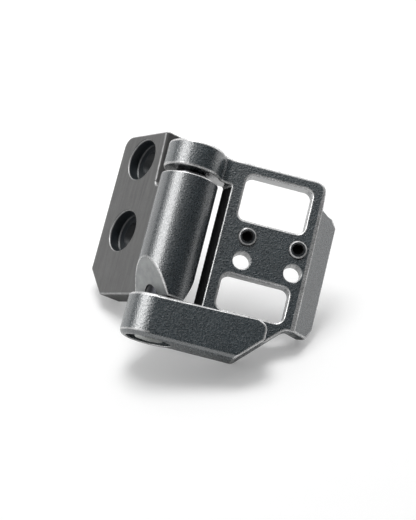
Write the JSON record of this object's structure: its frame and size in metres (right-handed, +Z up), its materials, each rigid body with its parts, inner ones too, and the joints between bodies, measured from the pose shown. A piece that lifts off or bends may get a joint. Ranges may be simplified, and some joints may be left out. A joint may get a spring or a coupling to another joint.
{
  "type": "folding hinge",
  "caption": "Folding hinge: a windowed cast leaf with two ears carries a counterbored plate leaf on a sprung barrel, with set screws as stops.",
  "frame": {"origin": "on the frame leaf's flat mounting face, midway between its two open holes and its two stop screws", "axes": "+Z runs up along the hinge pin, +Y points out of the frame leaf's mounting face, +X points from the barrel to the wing"},
  "size_m": [0.0603, 0.0413, 0.0583],
  "materials": {
    "frame_coating": "black, finely textured semi-gloss coating on a casting",
    "leaf_coating": "black textured coating on the barrel, smooth grey plate faces",
    "pin_steel": "turned steel",
    "blackened_steel": "black oxide",
    "spring_steel": "drawn spring wire"
  },
  "bodies": {
    "frame": {"frame_leaf": "frame_coating", "hinge_pin": "pin_steel", "pin_snap_ring": "blackened_steel", "stop_screw_inner": "blackened_steel", "stop_screw_outer": "blackened_steel", "barrel_spring": "spring_steel"},
    "lift_carrier": {"spring_washer": "pin_steel"},
    "leaf": {"plate_leaf": "leaf_coating"}
  },
  "joints": [
    {"name": "leaf_lift", "type": "slide", "parent": "frame", "child": "lift_carrier", "axis": [0, 0, 1], "range_m": [0, 0.0014], "stiffness_N_per_m": 1600, "springref_m": -0.004, "deforming": ["barrel_spring"]},
    {"name": "leaf_swing", "type": "hinge", "parent": "lift_carrier", "child": "leaf", "pos_m": [-0.0245, -0.0052, 0], "axis": [0, 0, 1], "range_deg": [-47, 235]}
  ]
}
